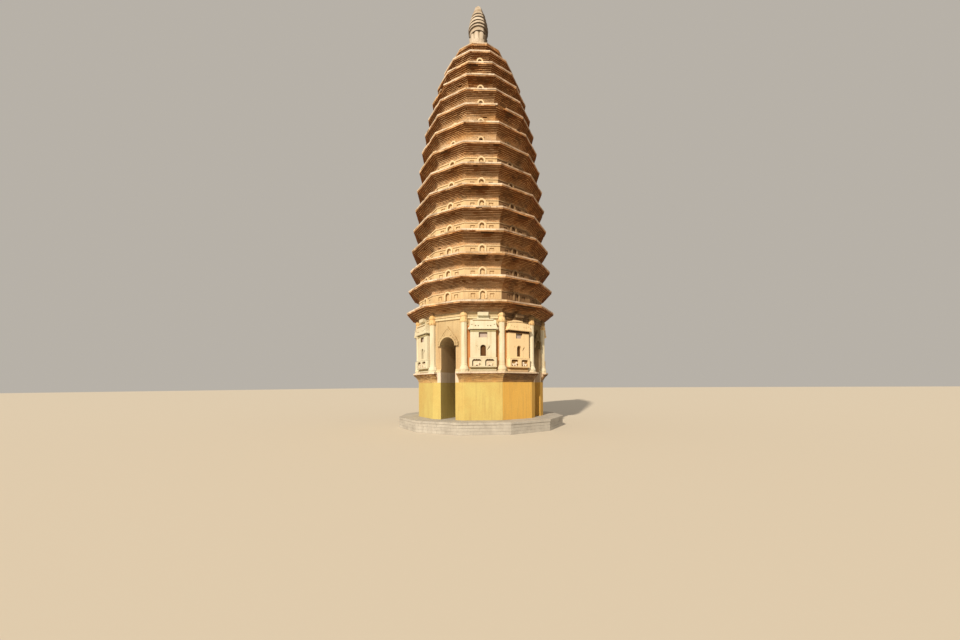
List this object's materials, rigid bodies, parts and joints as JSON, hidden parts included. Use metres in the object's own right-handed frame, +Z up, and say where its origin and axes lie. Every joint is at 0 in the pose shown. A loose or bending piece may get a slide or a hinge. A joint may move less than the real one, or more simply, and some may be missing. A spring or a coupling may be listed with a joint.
{
  "type": "twelve-sided brick pagoda with close-set eaves",
  "caption": "A tall hollow brick and plaster pagoda on a stone platform: arched doorways, relief niches and columns below, close-set corbelled eaves above, and a carved stone finial.",
  "frame": {"origin": "middle of the platform's underside, on the ground", "axes": "+Z up along the tower; doorways face -Y, +X, +Y and -X, and niches face the eight ways between"},
  "size_m": [13.6388, 13.6388, 36.8],
  "materials": {
    "platform_stone": "matte",
    "lower_plaster": "matte",
    "wall_plaster": "matte",
    "relief_plaster": "matte",
    "eave_brick": "matte",
    "finial_stone": "matte"
  },
  "bodies": {
    "root": {"platform": "platform_stone", "lower_wall_front_right": "lower_plaster", "upper_wall_front_right": "wall_plaster", "lower_wall_back_right": "lower_plaster", "upper_wall_back_right": "wall_plaster", "lower_wall_back_left": "lower_plaster", "upper_wall_back_left": "wall_plaster", "lower_wall_front_left": "lower_plaster", "upper_wall_front_left": "wall_plaster", "door_head_front": "wall_plaster", "door_head_right": "wall_plaster", "door_head_back": "wall_plaster", "door_head_left": "wall_plaster", "corner_column_01": "relief_plaster", "corner_column_02": "relief_plaster", "corner_column_03": "relief_plaster", "corner_column_04": "relief_plaster", "corner_column_05": "relief_plaster", "corner_column_06": "relief_plaster", "corner_column_07": "relief_plaster", "corner_column_08": "relief_plaster", "corner_column_09": "relief_plaster", "corner_column_10": "relief_plaster", "corner_column_11": "relief_plaster", "corner_column_12": "relief_plaster", "niche_01": "relief_plaster", "niche_02": "relief_plaster", "niche_03": "relief_plaster", "niche_04": "relief_plaster", "niche_05": "relief_plaster", "niche_06": "relief_plaster", "niche_07": "relief_plaster", "niche_08": "relief_plaster", "eave_01": "eave_brick", "eave_02": "eave_brick", "eave_03": "eave_brick", "eave_04": "eave_brick", "eave_05": "eave_brick", "eave_06": "eave_brick", "eave_07": "eave_brick", "eave_08": "eave_brick", "eave_09": "eave_brick", "eave_10": "eave_brick", "eave_11": "eave_brick", "eave_12": "eave_brick", "eave_13": "eave_brick", "eave_14": "eave_brick", "eave_15": "eave_brick", "finial_lotus": "finial_stone", "finial_rings": "finial_stone", "finial_jewel": "finial_stone"}
  },
  "joints": []
}
